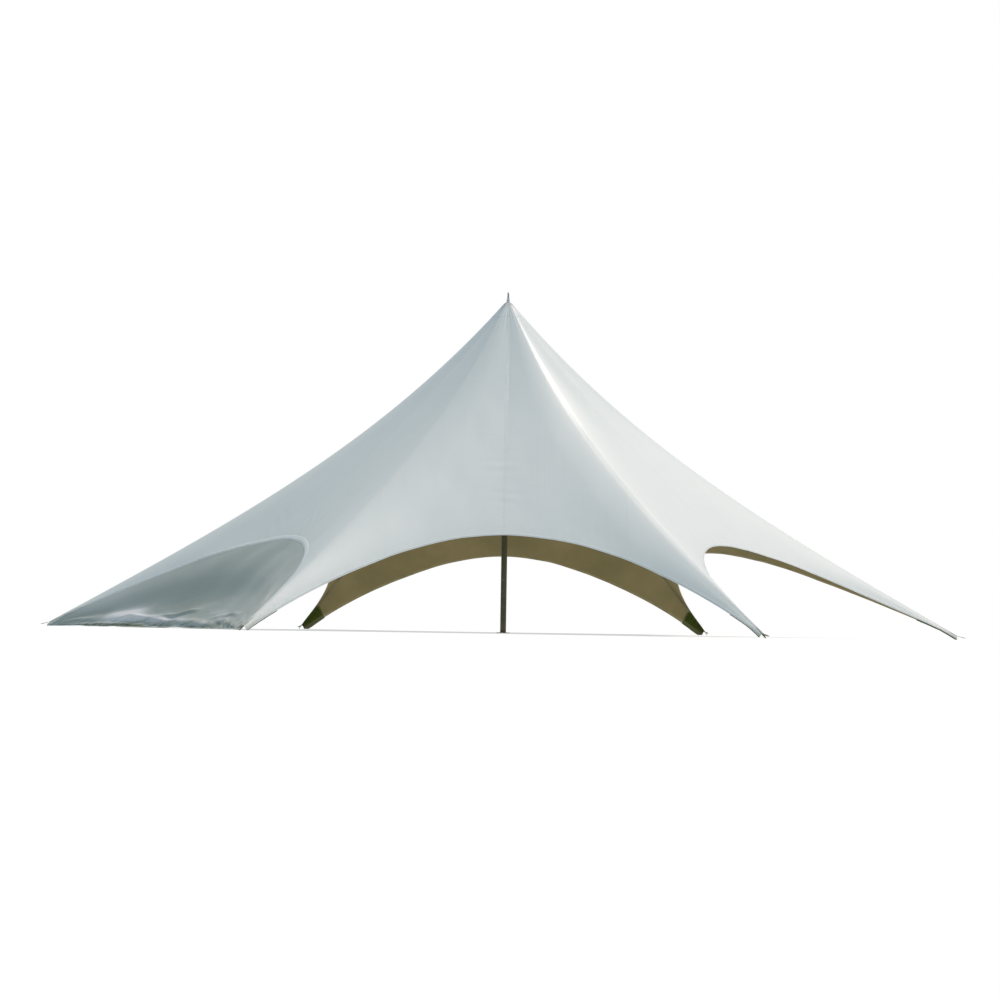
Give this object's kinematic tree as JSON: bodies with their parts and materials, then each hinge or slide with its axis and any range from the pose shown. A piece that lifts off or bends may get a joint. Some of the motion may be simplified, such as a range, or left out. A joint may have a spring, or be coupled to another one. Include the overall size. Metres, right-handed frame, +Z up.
{
  "type": "star-shaped shade tent",
  "caption": "Star-shaped event tent: white tensioned canopy on a centre pole, pulled out to staked arms, with open arched bays and one zipped wall.",
  "frame": {"origin": "on level ground at the axis of the centre pole", "axes": "+Z up along the pole, +X towards the right arm, -Y towards the front bay"},
  "size_m": [14.0872, 12.205, 5.175],
  "materials": {
    "canopy_fabric": "white coated polyester, satin sheen outside, tan coating inside",
    "white_webbing": "woven off-white polyester tape, matt",
    "olive_fabric": "dark olive reinforcement cloth and load webbing, matt",
    "wall_fabric": "grey-green coated polyester, satin, soiled along the ground",
    "pole_paint": "dark olive-grey paint, half gloss",
    "zinc_steel": "zinc-plated steel, worn"
  },
  "bodies": {
    "root": {"pole_foot_plate": "pole_paint", "pole_lower_tube": "pole_paint", "pole_lock_collar": "pole_paint", "pole_upper_tube": "pole_paint", "pole_head": "pole_paint", "canopy_panel_front": "canopy_fabric", "canopy_panel_right_front": "canopy_fabric", "canopy_panel_right_back": "canopy_fabric", "canopy_panel_back": "canopy_fabric", "canopy_panel_left_back": "canopy_fabric", "canopy_panel_left_front": "canopy_fabric", "peak_cone": "canopy_fabric", "arch_hem_front": "white_webbing", "arch_hem_right_front": "white_webbing", "arch_hem_right_back": "white_webbing", "arch_hem_back": "white_webbing", "arch_hem_left_back": "white_webbing", "arch_hem_left_front": "white_webbing", "wall_zip_flap": "white_webbing", "ridge_webbing_right": "olive_fabric", "ridge_webbing_back_right": "olive_fabric", "ridge_webbing_back_left": "olive_fabric", "ridge_webbing_left": "olive_fabric", "ridge_webbing_front_left": "olive_fabric", "ridge_webbing_front_right": "olive_fabric", "arm_end_patch_right": "olive_fabric", "arm_end_patch_back_right": "olive_fabric", "arm_end_patch_back_left": "olive_fabric", "arm_end_patch_left": "olive_fabric", "arm_end_patch_front_left": "olive_fabric", "arm_end_patch_front_right": "olive_fabric", "anchor_ring_right": "zinc_steel", "anchor_ring_back_right": "zinc_steel", "anchor_ring_back_left": "zinc_steel", "anchor_ring_left": "zinc_steel", "anchor_ring_front_left": "zinc_steel", "anchor_ring_front_right": "zinc_steel", "stake_right": "zinc_steel", "stake_back_right": "zinc_steel", "stake_back_left": "zinc_steel", "stake_left": "zinc_steel", "stake_front_left": "zinc_steel", "stake_front_right": "zinc_steel", "wall_panel": "wall_fabric"}
  },
  "joints": []
}
